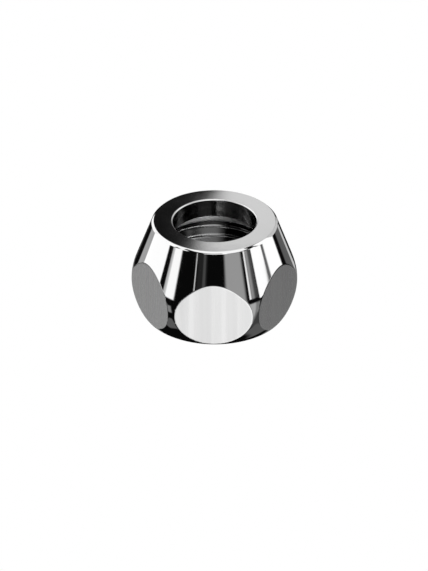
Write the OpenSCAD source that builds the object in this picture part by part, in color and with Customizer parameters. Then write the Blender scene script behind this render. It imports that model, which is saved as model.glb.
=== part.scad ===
// Compression nut for a plain metal pipe: a hexagon nut with a turned crown, a plain pipe bore,
// a conical seat for the compression ring, and an internal parallel pipe thread.
// The origin is the centre of the ring that the nut stands on, with the crown up along +Z.

/* [Spanner hexagon] */
// Width across the flats
across_flats = 25; // [24:0.5:27]

/* [Turned body] */
// Diameter at the waist, where the body is widest and the hexagon's corners are turned away
body_d = 28.2; // [27:0.1:30]
// Height from the base ring to the top face
height = 17; // [15:0.5:24]
// Height of the waist above the base ring
waist_z = 5.7; // [4:0.1:7]
// Radius of the round that runs through the waist, seen in section
waist_round = 9.5; // [8:0.1:12]
// Diameter of the flat top face
face_d = 20.5; // [18:0.1:22]
// Chamfer between the top face and the crown's cone
face_chamfer = 0.35; // [0.1:0.05:0.8]
// Height of the edge break around the base ring
base_edge_h = 0.17; // [0.05:0.01:0.6]
// Width of the edge break around the base ring
base_edge_w = 0.35; // [0.05:0.05:0.8]

/* [Pipe bore] */
// Outside diameter of the pipe
pipe_d = 14; // [10:0.5:16]
// How much wider than the pipe the bore is
pipe_clearance = 0.1; // [0.05:0.05:0.5]
// Depth of the bore, from the top face to the seat
bore_depth = 3.3; // [1.5:0.1:5]
// Chamfer at the bore's mouth
bore_chamfer = 0.2; // [0.05:0.05:0.6]

/* [Seat] */
// Angle between the seat's cone and the nut's axis, in degrees
seat_angle = 45; // [30:1:60]

/* [Thread] */
// Major diameter of the parallel pipe thread
thread_major_d = 20.955; // [18:0.001:22]
// Pitch of the thread
thread_pitch = 1.814; // [0.907:0.001:2.309]
// Width of the run-out groove between the seat and the thread
relief_w = 0.7; // [0.4:0.1:3]
// How far the groove is cut past the major radius
relief_over = 0.1; // [0.05:0.05:0.5]
// How far the entry chamfer opens past the major radius
entry_over = 0.1; // [0.05:0.05:0.5]

/* [Hidden] */
$fn = 180;
// Excess of a cutting tool past the face that it cuts
past = 1;

across_corners = across_flats / cos(30);

// Outside: the waist's round, its lower end, and its tangent to the crown's cone
round_at = [body_d / 2 - waist_round, waist_z];
round_end = [round_at.x + sqrt(pow(waist_round, 2) - pow(waist_z - base_edge_h, 2)), base_edge_h];
face_edge = [face_d / 2 + face_chamfer, height - face_chamfer];
to_edge = face_edge - round_at;
tangent_angle = atan2(to_edge.y, to_edge.x) - acos(waist_round / norm(to_edge));
tangent = round_at + waist_round * [cos(tangent_angle), sin(tangent_angle)];
beyond = (round_end + tangent) / 2 + [waist_round, 0];

// Inside: radii, and heights from the base up
bore_r = (pipe_d + pipe_clearance) / 2;
thread_height = 0.640327 * thread_pitch;
minor_r = thread_major_d / 2 - thread_height;
relief_r = thread_major_d / 2 + relief_over;
entry_r = thread_major_d / 2 + entry_over;
seat_z = height - bore_depth;
groove_top = seat_z - (minor_r - bore_r) / tan(seat_angle);
groove_floor = groove_top - relief_w;

// Half section of the turned outside
module outside() {
    polygon([
        [0, 0], [round_end.x - base_edge_w, 0], round_end,
        tangent, face_edge, [face_d / 2, height], [0, height]
    ]);
    // The round, which bulges past the straight line between its ends
    intersection() {
        translate(round_at) circle(r = waist_round);
        polygon([
            round_at, round_end, [beyond.x, round_end.y], [beyond.x, tangent.y], tangent
        ]);
    }
}

// Half section of everything that is bored out, from the base up
module inside() {
    polygon([
        [0, -past], [entry_r, -past], [entry_r, 0], [minor_r, entry_r - minor_r],
        [minor_r, groove_floor], [relief_r, groove_floor], [relief_r, groove_top],
        [minor_r, groove_top], [bore_r, seat_z], [bore_r, height - bore_chamfer],
        [bore_r + bore_chamfer, height], [bore_r + bore_chamfer, height + past],
        [0, height + past]
    ]);
}

// The nut, with two flats facing along Y and corners along X
module nut() {
    color("silver")
    difference() {
        intersection() {
            rotate_extrude() outside();
            translate([0, 0, -past])
                cylinder(d = across_corners, h = height + 2 * past, $fn = 6);
        }
        rotate_extrude() inside();
    }
}

nut();
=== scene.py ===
import math
import bpy
import bmesh
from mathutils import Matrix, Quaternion, Vector


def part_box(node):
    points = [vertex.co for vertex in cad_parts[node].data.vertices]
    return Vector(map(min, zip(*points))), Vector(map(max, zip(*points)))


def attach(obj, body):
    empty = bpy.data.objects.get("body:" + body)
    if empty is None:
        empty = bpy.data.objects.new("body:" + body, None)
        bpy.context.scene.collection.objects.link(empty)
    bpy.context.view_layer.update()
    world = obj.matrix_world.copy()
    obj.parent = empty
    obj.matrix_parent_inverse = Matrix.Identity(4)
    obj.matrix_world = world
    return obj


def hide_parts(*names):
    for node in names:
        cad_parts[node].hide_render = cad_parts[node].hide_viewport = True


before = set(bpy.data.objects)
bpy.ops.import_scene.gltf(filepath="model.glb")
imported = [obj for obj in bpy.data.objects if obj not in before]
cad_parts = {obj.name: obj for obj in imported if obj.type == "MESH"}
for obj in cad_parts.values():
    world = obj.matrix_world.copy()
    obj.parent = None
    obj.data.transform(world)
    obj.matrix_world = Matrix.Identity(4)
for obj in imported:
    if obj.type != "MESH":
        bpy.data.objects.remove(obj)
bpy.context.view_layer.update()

mm = 0.001
print("frame loaded")


# Small helpers

def linear(part):   # of one sRGB channel, where 1 is full
    return part / 12.92 if part <= 0.04045 else ((part + 0.055) / 1.055) ** 2.4


def toLinear(hexColour):
    return [linear(int(hexColour[i:i + 2], 16) / 255) for i in (0, 2, 4)] + [1.0]


def addNode(tree, kind, values=None, **settings):
    node = tree.nodes.new(kind)
    for name, value in settings.items():
        setattr(node, name, value)
    for socket, value in (values or {}).items():
        if isinstance(value, bpy.types.NodeSocket):
            tree.links.new(value, node.inputs[socket])
        else:
            node.inputs[socket].default_value = value
    return node


def around(degrees):
    return Vector((math.cos(math.radians(degrees)), math.sin(math.radians(degrees)), 0))


def at(radius, height):   # a point of a half section, which lies in the XZ plane
    return Vector((radius, 0, height))


def arcChain(bm, start, centre, degrees, steps):   # turns from +X towards -Z
    first = bm.verts.new(start)
    bmesh.ops.spin(bm, geom=[first], cent=centre, axis=(0, 1, 0),
                   angle=math.radians(degrees), steps=steps, use_merge=False)
    bm.verts.ensure_lookup_table()
    return bm.verts[-steps - 1:]


def pointChain(bm, points):
    return [bm.verts.new(p) for p in points]


def link(bm, verts):
    for a, b in zip(verts, verts[1:]):
        bm.edges.new((a, b))


def lines(bm):
    return bm.verts[:] + bm.edges[:]


def everything(bm):
    return lines(bm) + bm.faces[:]


def edgesOf(geometry):
    return [g for g in geometry if isinstance(g, bmesh.types.BMEdge)]


def vertsOf(geometry):
    return [g for g in geometry if isinstance(g, bmesh.types.BMVert)]


def toMetres(bm):
    bmesh.ops.scale(bm, vec=(mm, mm, mm), verts=bm.verts)


def asObject(name, bm):
    mesh = bpy.data.meshes.new(name)
    bm.to_mesh(mesh)
    bm.free()
    piece = bpy.data.objects.new(name, mesh)
    bpy.context.scene.collection.objects.link(piece)
    return piece


# The nut, modelled in millimetres and brought to metres at the end

low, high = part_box("nut")
nut = {
    "flats": (high.y - low.y) / mm,
    "body": (high.x - low.x) / mm,
    "height": high.z / mm,
    "waist": 5.7,             # height of the widest part
    "waistRound": 9.5,        # radius of the long round that runs through it
    "roundSteps": 72,         # steps along it
    "face": 20.5,             # flat top face
    "faceChamfer": 0.35,
    "baseEdgeWidth": 0.35,
    "baseEdgeHeight": 0.17,
    "bore": 14.1,
    "boreDepth": 3.3,
    "boreChamfer": 0.2,
    "seatAngle": 45,
    "grooveWidth": 0.7,
    "openPastThread": 0.1,    # the groove and the entry, past the thread's major radius
    "softEdge": 0.03,         # what polishing takes off each turned edge
    "softRim": 0.05,          # and off the outline of each flat, across the flat
    "softRimDepth": 0.015,    # and into it
    "rimLoop": 0.12,          # width of the two even bands inside a flat's outline
    "smoothTo": 40,           # degrees, past which an edge shades sharp
    "around": 360,            # steps round the axis
}
thread = {
    "major": 20.955,
    "pitch": 1.814,
    "flankAngle": 27.5,       # from square to the axis
    "depth": 0.640327,        # as a share of the pitch
    "rounding": 0.137329,     # radius of the roots, as a share of the pitch
    "rootSteps": 5,
    "land": 0.32,             # flat crest, as the bored hole leaves it
    "landEdge": 0.06,         # radius of its edges
    "landEdgeSteps": 3,
    "crestHeight": 1.12,      # height of a crest on the +X side, within one pitch
    "underSize": 0.12,        # how much less, in radius, the hole for the tap is drilled
    "plugFoot": -0.6,         # height where the tap starts, below the base
    "around": 180,            # steps to a turn
}

# Tolerances of the modelling, in millimetres
samePoint = 1e-3
sameLine = 1e-4
samePlane = 1e-5


def turnedBlank():
    top = nut["height"]
    centre = at(nut["body"] / 2 - nut["waistRound"], nut["waist"])
    faceEdge = at(nut["face"] / 2 + nut["faceChamfer"], top - nut["faceChamfer"])
    reach = faceEdge - centre
    upper = math.degrees(math.atan2(reach.z, reach.x) - math.acos(nut["waistRound"] / reach.length))
    lower = math.degrees(math.asin((nut["waist"] - nut["baseEdgeHeight"]) / nut["waistRound"]))
    tangent = centre + nut["waistRound"] * at(math.cos(math.radians(upper)), math.sin(math.radians(upper)))

    core = thread["major"] / 2 - thread["depth"] * thread["pitch"]
    opened = thread["major"] / 2 + nut["openPastThread"]
    bore = nut["bore"] / 2
    seat = top - nut["boreDepth"]
    grooveTop = seat - (core - bore) / math.tan(math.radians(nut["seatAngle"]))
    grooveFloor = grooveTop - nut["grooveWidth"]
    drilled = core - thread["underSize"]

    bm = bmesh.new()
    outside = arcChain(bm, tangent, centre, upper + lower, nut["roundSteps"])
    ring = at(outside[-1].co.x - nut["baseEdgeWidth"], 0)
    corners = [
        ring, at(opened, 0), at(drilled, opened - drilled), at(drilled, grooveFloor),
        at(opened, grooveFloor), at(opened, grooveTop), at(core, grooveTop), at(bore, seat),
        at(bore, top - nut["boreChamfer"]), at(bore + nut["boreChamfer"], top),
        at(nut["face"] / 2, top), faceEdge,
    ]
    softened = [outside[-1].co.copy()] + corners[:2] + corners[7:]
    link(bm, outside[-1:] + pointChain(bm, corners) + outside[:1])
    bmesh.ops.spin(bm, geom=lines(bm), cent=(0, 0, 0), axis=(0, 0, 1), angle=2 * math.pi,
                   steps=nut["around"], use_merge=True)
    bmesh.ops.recalc_face_normals(bm, faces=bm.faces)

    def onCorner(vert):
        spot = at(vert.co.xy.length, vert.co.z)
        return any((spot - corner).length < samePoint for corner in softened)

    def goesRound(edge):
        start, end = (vert.co for vert in edge.verts)
        return abs(start.z - end.z) < sameLine and abs(start.xy.length - end.xy.length) < sameLine

    hoops = [e for e in bm.edges if all(onCorner(v) for v in e.verts) and goesRound(e)]
    bmesh.ops.bevel(bm, geom=hoops, offset=nut["softEdge"], offset_type="OFFSET", segments=2,
                    profile=0.5, affect="EDGES", clamp_overlap=True, material=-1)
    return bm, grooveFloor, grooveTop


def tap(bottom, top):   # a plug that carries the thread's turns
    pitch, steps = thread["pitch"], thread["around"]
    radius, edge = thread["rounding"] * pitch, thread["landEdge"]
    tilt = 90 - thread["flankAngle"]
    root = thread["major"] / 2
    crest = root - thread["depth"] * pitch
    landEnd = thread["land"] / 2 - edge * math.tan(math.radians(tilt / 2))

    bm = bmesh.new()
    # one flank, from a crest's middle up to a root's middle, and its mirror image below
    rising = arcChain(bm, at(crest, landEnd), at(crest + edge, landEnd), tilt, thread["landEdgeSteps"])
    falling = arcChain(bm, at(root, 0), at(root - radius, 0), tilt, thread["rootSteps"])
    bmesh.ops.translate(bm, vec=(0, 0, pitch / 2), verts=falling)
    link(bm, pointChain(bm, [at(crest, 0)]) + rising[:1])
    link(bm, [rising[-1], falling[-1]])
    bmesh.ops.mirror(bm, geom=lines(bm), axis="Z", merge_dist=sameLine)
    spare = 1.5   # turns to start below the bottom, so that the end of the first one does too
    first = pitch * math.floor(bottom / pitch - spare) + thread["crestHeight"]
    bmesh.ops.translate(bm, vec=(0, 0, first), verts=bm.verts)
    bmesh.ops.spin(bm, geom=lines(bm), cent=(0, 0, 0), axis=(0, 0, 1),
                   dvec=(0, 0, pitch / steps), angle=2 * math.pi, steps=steps)
    turn = everything(bm)
    for k in range(1, math.ceil((top - first) / pitch) + 1):
        copy = bmesh.ops.duplicate(bm, geom=turn)["geom"]
        bmesh.ops.translate(bm, vec=(0, 0, pitch * k), verts=vertsOf(copy))
    bmesh.ops.remove_doubles(bm, verts=bm.verts, dist=samePoint)
    for height, side in ((bottom, -1), (top, 1)):
        cut = bmesh.ops.bisect_plane(bm, geom=everything(bm), dist=samePlane, clear_outer=True,
                                     plane_co=(0, 0, height), plane_no=(0, 0, side))
        bmesh.ops.contextual_create(bm, geom=edgesOf(cut["geom_cut"]))
    bmesh.ops.recalc_face_normals(bm, faces=bm.faces)
    return bm


def tapped(blank, plug):
    cut = blank.modifiers.new("tap", "BOOLEAN")
    cut.operation, cut.solver, cut.object = "DIFFERENCE", "EXACT", plug
    graph = bpy.context.evaluated_depsgraph_get()
    bm = bmesh.new()
    bm.from_mesh(blank.evaluated_get(graph).to_mesh())
    for used in (blank, plug):
        bpy.data.meshes.remove(used.data)
    return bm


# Slots of the finishes, in the order in which their materials are added
finishSlot = {"polished": 0, "satin": 1, "turned": 2, "inside": 3, "seat": 4}


def millFlats(bm):
    half = nut["flats"] / 2
    for k in range(6):
        out = around(30 + 60 * k)
        for depth, clear in ((half - nut["softRim"], False), (half, True)):
            cut = bmesh.ops.bisect_plane(bm, geom=everything(bm), dist=samePlane, clear_outer=clear,
                                         plane_co=out * depth, plane_no=out)
        rim = edgesOf(cut["geom_cut"])
        rimVerts = list({v for e in rim for v in e.verts})
        flat = bmesh.ops.contextual_create(bm, geom=rim)["faces"]
        for loop in range(2):
            band = bmesh.ops.inset_individual(bm, faces=flat, thickness=nut["rimLoop"],
                                              use_even_offset=True)
        for face in band["faces"] + flat:
            face.material_index = finishSlot["satin"]
        bmesh.ops.translate(bm, vec=out * -nut["softRimDepth"], verts=rimVerts)


# The flats are named where they are milled, and everything else here
def nameFinishes(bm, grooveTop):
    top, seatTop = nut["height"], nut["height"] - nut["boreDepth"]
    slope = math.sqrt(0.5)   # the upright part of a 45-degree cone's normal
    alike = 0.1              # how near a normal has to be
    level = 0.99             # the upright part of a level face's normal, at least
    hair, skin = 0.01, 0.05  # mm, within which a face counts as part of the top or the base
    lining = thread["major"] / 2 + 0.3   # all of the inside lies within this radius
    for face in bm.faces:
        if face.material_index == finishSlot["satin"]:
            continue
        spot, lean = face.calc_center_median(), face.normal.z
        out, height = spot.xy.length, spot.z
        if out < nut["bore"] / 2 + nut["boreChamfer"] and height < top - hair:
            name = "seat" if abs(lean - slope) < alike else "inside"
        elif out < lining and skin < height < seatTop:
            name = "seat" if abs(lean + slope) < alike and height > grooveTop else "inside"
        elif abs(lean) > level and (height < skin or height > top - skin):
            name = "turned"
        else:
            name = "polished"
        face.material_index = finishSlot[name]


blank, grooveFloor, grooveTop = turnedBlank()
print("blank turned:", len(blank.faces), "faces")
plug = tap(thread["plugFoot"], (grooveFloor + grooveTop) / 2)
print("tap made:", len(plug.faces), "faces")
body = tapped(asObject("blank", blank), asObject("plug", plug))
print("thread cut:", len(body.faces), "faces")
millFlats(body)
print("flats milled:", len(body.faces), "faces, open edges:",
      sum(not e.is_manifold for e in body.edges))
bmesh.ops.dissolve_degenerate(body, dist=sameLine, edges=body.edges)
body.normal_update()
nameFinishes(body, grooveTop)
for edge in body.edges:
    edge.smooth = len(edge.link_faces) == 2 and edge.calc_face_angle() < math.radians(nut["smoothTo"])
for face in body.faces:
    face.smooth = True
toMetres(body)
nutPiece = asObject("compression_nut", body)
even = nutPiece.modifiers.new("even shading", "WEIGHTED_NORMAL")
even.keep_sharp = True
even.mode = "FACE_AREA_WITH_ANGLE"
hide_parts("nut")
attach(nutPiece, "root")

# Finishes of the nut. Every pattern reads Object coordinates and is sized in millimetres.

finish = {
    "chrome": "D3D3D3",
    "ground": "D8D8D8",           # painted light: a little paler than the chrome, so that the flats read brighter
    "plating": "919191",          # painted shade: the inside plate is darkened to stand in for the shade in the bore
    "polished": (0.05, 0.015),    # roughness of the turned outside, and how far it varies
    "satin": (0.27, 0.05),        # of the six flats
    "turned": (0.13, 0.02),       # of the top face and the base ring
    "inside": (0.1, 0.03),        # of the bore, the groove and the thread
    "seat": (0.35, 0.04),         # of the seat and the mouth's chamfer
    "handling": 4.0,              # mm across the patches where the gloss varies
    "millStroke": 1.5,            # mm from one stroke of the belt to the next on the flats
    "millMark": 0.5,              # mm from one upright mark to the next on the flats
    "toolMark": 0.4,              # mm from one turned mark to the next on the top face
    "boreMark": 0.3,              # mm from one of the boring tool's rings to the next
    "drawnOut": 0.03,             # how slowly a mark changes along its length, next to across it
    "millRelief": (0.12, 0.02),   # strength of the marks, and their height in mm
    "toolRelief": (0.1, 0.01),
    "boreRelief": (0.15, 0.02),
}
noiseSpan = {"From Min": 0.3, "From Max": 0.7}   # where nearly all of a noise's values lie


def startMaterial(name, colour, roughness):
    material = bpy.data.materials.new(name)
    material.use_nodes = True
    tree = material.node_tree
    shader = tree.nodes["Principled BSDF"]
    shader.inputs["Base Color"].default_value = toLinear(colour)
    shader.inputs["Metallic"].default_value = 1
    shader.inputs["Roughness"].default_value = roughness
    place = addNode(tree, "ShaderNodeTexCoord").outputs["Object"]
    return material, tree, shader, place


def noise(tree, place, size, values):   # size in mm
    return addNode(tree, "ShaderNodeTexNoise",
                   {"Vector": place, "Scale": 1 / (size * mm), **values}).outputs["Fac"]


def setGloss(tree, shader, pattern, roughness, spread):
    gloss = addNode(tree, "ShaderNodeMapRange",
                    {"Value": pattern, **noiseSpan,
                     "To Min": roughness - spread, "To Max": roughness + spread})
    tree.links.new(gloss.outputs["Result"], shader.inputs["Roughness"])


def setPatchyGloss(tree, shader, place, roughness, spread):
    setGloss(tree, shader, noise(tree, place, finish["handling"], {"Detail": 3}), roughness, spread)


def setRelief(tree, shader, pattern, strength, height):
    relief = addNode(tree, "ShaderNodeBump",
                     {"Height": pattern, "Strength": strength, "Distance": height * mm})
    tree.links.new(relief.outputs["Normal"], shader.inputs["Normal"])


# Chromium plate on brass, turned and buffed bright: a near mirror, with the buff's faint bloom
def polishedChrome():
    roughness, spread = finish["polished"]
    material, tree, shader, place = startMaterial("polished chrome plate", finish["chrome"], roughness)
    setPatchyGloss(tree, shader, place, roughness, spread)
    return material


# The same plate on milled and belt-ground flats: satin, with upright grinding marks, and a little paler as
# painted light
def satinChrome():
    roughness, spread = finish["satin"]
    # finish["ground"] is a little paler than the chrome: painted light that brightens the flats
    material, tree, shader, place = startMaterial("satin ground chrome plate", finish["ground"],
                                                  roughness)
    upright = addNode(tree, "ShaderNodeMapping",
                      {"Vector": place, "Scale": (1, 1, finish["drawnOut"])}).outputs["Vector"]
    strokes = noise(tree, upright, finish["millStroke"], {"Detail": 2})
    setGloss(tree, shader, strokes, roughness, spread)
    marks = noise(tree, upright, finish["millMark"], {"Detail": 4, "Roughness": 0.6})
    setRelief(tree, shader, marks, *finish["millRelief"])
    return material


# Faces that the lathe left: fine rings round the axis under the plate
def turnedChrome():
    roughness, spread = finish["turned"]
    material, tree, shader, place = startMaterial("face-turned chrome plate", finish["chrome"],
                                                  roughness)
    setPatchyGloss(tree, shader, place, roughness, spread)
    flat = addNode(tree, "ShaderNodeVectorMath", {0: place, 1: (1, 1, 0)}, operation="MULTIPLY")
    out = addNode(tree, "ShaderNodeVectorMath", {0: flat.outputs["Vector"]}, operation="LENGTH")
    turns = addNode(tree, "ShaderNodeMath",
                    {0: out.outputs["Value"], 1: 2 * math.pi / (finish["toolMark"] * mm)},
                    operation="MULTIPLY")
    rings = addNode(tree, "ShaderNodeMath", {0: turns.outputs["Value"]}, operation="SINE")
    setRelief(tree, shader, rings.outputs["Value"], *finish["toolRelief"])
    return material


# Inside, the plate's colour is darkened as painted shade, for the shade in the bore and the thread; the
# boring tool's rings lie under it
def insidePlating():
    roughness, spread = finish["inside"]
    # finish["plating"] is painted shade: darker than the chrome outside, for the shaded bore
    material, tree, shader, place = startMaterial("inside plate darkened as painted shade", finish["plating"],
                                                  roughness)
    setPatchyGloss(tree, shader, place, roughness, spread)
    slow = finish["drawnOut"]
    ringed = addNode(tree, "ShaderNodeMapping", {"Vector": place, "Scale": (slow, slow, 1)})
    rings = noise(tree, ringed.outputs["Vector"], finish["boreMark"], {"Detail": 2})
    setRelief(tree, shader, rings, *finish["boreRelief"])
    return material


# The cone that presses on the ring, and the chamfer of the mouth: cut smooth, with a soft gloss, in the
# outside's chrome colour, without the painted shade of the rest of the inside
def seatPlating():
    roughness, spread = finish["seat"]
    material, tree, shader, place = startMaterial("smooth-cut plated seat", finish["chrome"], roughness)
    setPatchyGloss(tree, shader, place, roughness, spread)
    return material


# in the order of finishSlot
for material in (polishedChrome(), satinChrome(), turnedChrome(), insidePlating(), seatPlating()):
    nutPiece.data.materials.append(material)
print("finishes made")


# The camera, set in millimetres and degrees about the middle of the nut

camera = {
    "azimuth": 0.66,        # to the right of the front
    "elevation": 31.2,
    "distance": 386.2,
    "below": 3.73,          # it points this far below the middle of the nut
    "left": 0.06,           # and this far to the left
    "roll": 0.26,
    "lens": 143.5,
    "sensor": 36,
    "near": 10,             # where it starts and ends to see
    "far": 10000,
}


def placeCamera():
    rise, swing = math.radians(camera["elevation"]), math.radians(camera["azimuth"])
    back = Vector((math.sin(swing) * math.cos(rise), -math.cos(swing) * math.cos(rise), math.sin(rise)))
    up = Vector((-math.sin(swing) * math.sin(rise), math.cos(swing) * math.sin(rise), math.cos(rise)))
    right = up.cross(back)
    middle = Vector((0, 0, nut["height"] / 2))
    spot = (middle + back * camera["distance"]) * mm
    aim = (middle - up * camera["below"] - right * camera["left"]) * mm
    eye = bpy.data.cameras.new("camera")
    eye.lens = camera["lens"]
    eye.sensor_width = camera["sensor"]
    eye.clip_start = camera["near"] * mm
    eye.clip_end = camera["far"] * mm
    holder = bpy.data.objects.new("camera", eye)
    bpy.context.scene.collection.objects.link(holder)
    holder.location = spot
    holder.rotation_mode = "QUATERNION"
    holder.rotation_quaternion = ((aim - spot).to_track_quat("-Z", "Y")
                                  @ Quaternion((0, 0, 1), math.radians(camera["roll"])))
    bpy.context.scene.camera = holder


placeCamera()
print("camera placed")


# The studio: a white floor, and a sky of soft boxes and screens that only the chrome sees.
# Each runs from one bearing to another (degrees from the camera's side, right is positive) and
# from one height to another (degrees above the horizon). Its tone is that of its reflection in
# the plate, where 255 is pure white and a lamp may pass it, and its edges fade over so many
# degrees. A later one lies over the earlier ones.

sky = {
    "dark": 8,
    "boxes": {
        #                    from  to    low  high tone fade
        "front paper side": (15, 66, -50, -16, 115, 12),
        "front paper":      (-11, 30, -62, -6, 245, 26),
        "left rear paper":  (-165, -100, -48, -26, 138, 6),
        "right rear paper": (95, 165, -50, -27, 112, 8),
        "left paper":       (-70, -58.5, -26, -14, 125, 2.5),
        "low left paper":   (-90, -63, -57, -38, 85, 3),
        "right paper edge": (55, 64, -30, -5, 120, 4),
        "low right screen": (60, 86, -52, -24, 60, 5),
        "right paper":      (46, 57, -44, -5, 165, 3),
        "low right paper":  (70, 132, -67, -48, 82, 6),
        "table glow":       (-180, 180, -100, -80, 160, 4),
        "left softbox":     (-125, -81, -17, 54, 253, 2),
        "left rear box":    (-158, -125, -7, 54, 250, 3),
        "left box edge":    (-72.5, -69, -1, 54, 178, 1.5),
        "left second box":  (-69, -55, -1, 48, 249, 3),
        "left pole":        (-29, -27.5, -14, 22, 190, 1),
        "left screen":      (-25, -11, -14, 18, 32, 3),
        "left screen edge": (-17, -13, -14, 18, 66, 2),
        "front lamp skirt": (-20, 24, 18, 28, 60, 2),
        "front lamp":       (-20, 24, 28, 50, 330, 2),
        "right screen":     (17, 44, -12, 18, 147, 5),
        "right pole":       (49, 52, 4, 30, 240, 1),
        "right flag":       (52, 62, 4, 30, 75, 4),
        "right flag face":  (52, 56.5, 4, 30, 140, 4),
        "right second box": (63.5, 84.5, 0, 40, 255, 1.5),
        "joint":            (84.5, 89.5, -12, 48, 95, 1.5),
        "right softbox":    (89.5, 118, -12, 48, 255, 3),
        "right rear box":   (118, 152, 0, 48, 190, 3),
        "far left screen":  (-141, -125, -22, -10, 155, 3),
        "far right screen": (129, 147, -26, -4, 86, 4),
        "far right lamp":   (148, 157, -30, 0, 180, 3),
        "left valance":     (-85, -68, 43, 58, 246, 2),
        "right valance":    (18, 74, 46, 58, 246, 2),
        "overhead box":     (-180, 180, 56, 90, 246, 3),
    },
}


def toneLight(tone):   # what a card gives off for its reflection in the plate to have this tone
    return linear(tone / 255) / toLinear(finish["chrome"])[1]


def buildSky():
    world = bpy.data.worlds.new("studio")
    bpy.context.scene.world = world
    world.use_nodes = True
    tree = world.node_tree
    background = tree.nodes["Background"]
    look = addNode(tree, "ShaderNodeTexCoord").outputs["Generated"]
    xyz = addNode(tree, "ShaderNodeSeparateXYZ", {"Vector": look}).outputs
    toFront = addNode(tree, "ShaderNodeMath", {0: xyz["Y"], 1: -1}, operation="MULTIPLY")
    bearing = addNode(tree, "ShaderNodeMath", {0: xyz["X"], 1: toFront.outputs["Value"]},
                      operation="ARCTAN2").outputs["Value"]
    height = addNode(tree, "ShaderNodeMath", {0: xyz["Z"]}, operation="ARCSINE").outputs["Value"]

    def fading(angle, edge, fade):   # past the edge, or short of it where the fade is negative
        return addNode(tree, "ShaderNodeMapRange",
                       {"Value": angle, "From Min": math.radians(edge - fade / 2),
                        "From Max": math.radians(edge + fade / 2)},
                       interpolation_type="SMOOTHSTEP").outputs["Result"]

    light = toneLight(sky["dark"])
    for name, (start, end, foot, head, tone, fade) in sky["boxes"].items():
        sides = [fading(height, foot, fade)]
        if head < 90:
            sides.append(fading(height, head, -fade))
        if end - start < 360:
            sides += [fading(bearing, start, fade), fading(bearing, end, -fade)]
        cover = sides[0]
        for side in sides[1:]:
            cover = addNode(tree, "ShaderNodeMath", {0: cover, 1: side},
                            operation="MULTIPLY").outputs["Value"]
        light = addNode(tree, "ShaderNodeMix", {0: cover, 2: light, 3: toneLight(tone)}, label=name,
                        data_type="FLOAT").outputs[0]

    # the camera itself sees plain white
    seen = addNode(tree, "ShaderNodeLightPath").outputs["Is Camera Ray"]
    strength = addNode(tree, "ShaderNodeMix", {0: seen, 2: light, 3: 1.0}, data_type="FLOAT")
    tree.links.new(strength.outputs[0], background.inputs["Strength"])
    background.inputs["Color"].default_value = (1, 1, 1, 1)


def glowing(name):
    material = bpy.data.materials.new(name)
    material.use_nodes = True
    tree = material.node_tree
    tree.nodes.clear()
    return material, tree


# The floor: matt white paper, lit to pure white, and clear from below
floorReach = 800   # mm, each way


def layFloor():
    bm = bmesh.new()
    bmesh.ops.create_grid(bm, x_segments=4, y_segments=4, size=floorReach * mm)
    floor = asObject("floor", bm)
    material, tree = glowing("white paper")
    side = addNode(tree, "ShaderNodeNewGeometry").outputs["Backfacing"]
    white = addNode(tree, "ShaderNodeEmission", {"Color": toLinear("FFFFFF"), "Strength": 1.0})
    clear = addNode(tree, "ShaderNodeBsdfTransparent")
    both = addNode(tree, "ShaderNodeMixShader", {0: side, 1: white.outputs["Emission"],
                                                 2: clear.outputs["BSDF"]})
    addNode(tree, "ShaderNodeOutputMaterial", {"Surface": both.outputs["Shader"]})
    floor.data.materials.append(material)
    floor.visible_glossy = False


def lightCard(piece, title, lightAt):   # only reflections see it
    material, tree = glowing(title)
    place = addNode(tree, "ShaderNodeTexCoord").outputs["Object"]
    xyz = addNode(tree, "ShaderNodeSeparateXYZ", {"Vector": place}).outputs
    light = addNode(tree, "ShaderNodeEmission", {"Strength": lightAt(tree, xyz)})
    addNode(tree, "ShaderNodeOutputMaterial", {"Surface": light.outputs["Emission"]})
    piece.data.materials.append(material)
    piece.visible_camera = False


# A card close behind the nut, dark on its left and bright on its right, for the top face
nearCard = {
    "behind": 60,           # mm, as are all its places
    "left": -26,
    "right": 16,
    "foot": 30,
    "head": 64,
    "edgeAt": -2.6,         # where dark meets bright, at the height below
    "edgeHeight": 54,
    "lean": -0.31,          # how far that edge moves right for each mm up
    "soft": 5.0,
    "dark": 16,             # tones, as in the sky
    "bright": 205,
}


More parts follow.
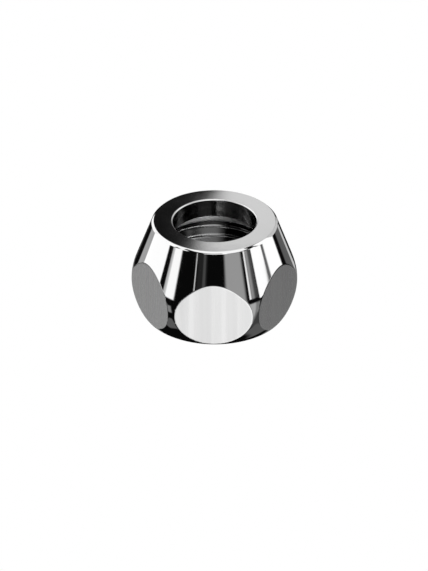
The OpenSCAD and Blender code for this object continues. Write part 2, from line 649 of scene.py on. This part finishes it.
def hangNearCard():
    card = nearCard
    bm = bmesh.new()
    bmesh.ops.create_grid(bm, x_segments=4, y_segments=4, size=0.5)
    bmesh.ops.rotate(bm, verts=bm.verts, cent=(0, 0, 0),
                     matrix=Quaternion((1, 0, 0), math.radians(90)).to_matrix())
    bmesh.ops.scale(bm, vec=(card["right"] - card["left"], 1, card["head"] - card["foot"]),
                    verts=bm.verts)
    bmesh.ops.translate(bm, vec=((card["right"] + card["left"]) / 2, card["behind"],
                                 (card["head"] + card["foot"]) / 2), verts=bm.verts)
    toMetres(bm)

    def lightAt(tree, xyz):
        upright = addNode(tree, "ShaderNodeMath", {0: xyz["Z"], 1: -card["lean"], 2: xyz["X"]},
                          operation="MULTIPLY_ADD").outputs["Value"]
        edge = (card["edgeAt"] - card["lean"] * card["edgeHeight"]) * mm
        half = card["soft"] / 2 * mm
        return addNode(tree, "ShaderNodeMapRange",
                       {"Value": upright, "From Min": edge - half, "From Max": edge + half,
                        "To Min": toneLight(card["dark"]), "To Max": toneLight(card["bright"])},
                       interpolation_type="SMOOTHSTEP").outputs["Result"]

    lightCard(asObject("near_card", bm), "near card", lightAt)


# A card under the back of the open bottom, whose light climbs the thread to the seat. It is
# brightest along its left edge and fades to the right.
underCard = {
    "radius": 9.6,          # mm, as are all its places
    "front": 1.0,           # it is cut off along these two lines
    "left": 0.8,
    "fadeTo": 6.5,
    "below": 0.4,
    "strength": 12.0,
}


def layUnderCard():
    card = underCard
    bm = bmesh.new()
    bmesh.ops.create_circle(bm, cap_ends=True, radius=card["radius"], segments=64)
    for corner, inward in (((0, card["front"], 0), (0, 1, 0)), ((card["left"], 0, 0), (1, 0, 0))):
        bmesh.ops.bisect_plane(bm, geom=everything(bm), dist=samePlane, clear_inner=True,
                               plane_co=corner, plane_no=inward)
    bmesh.ops.translate(bm, vec=(0, 0, -card["below"]), verts=bm.verts)
    toMetres(bm)

    def lightAt(tree, xyz):
        return addNode(tree, "ShaderNodeMapRange",
                       {"Value": xyz["X"], "From Min": card["left"] * mm,
                        "From Max": card["fadeTo"] * mm, "To Min": card["strength"],
                        "To Max": 0.0}).outputs["Result"]

    lightCard(asObject("under_card", bm), "under card", lightAt)


buildSky()
layFloor()
hangNearCard()
layUnderCard()
bpy.context.scene.view_settings.view_transform = "Standard"
print("studio set up")
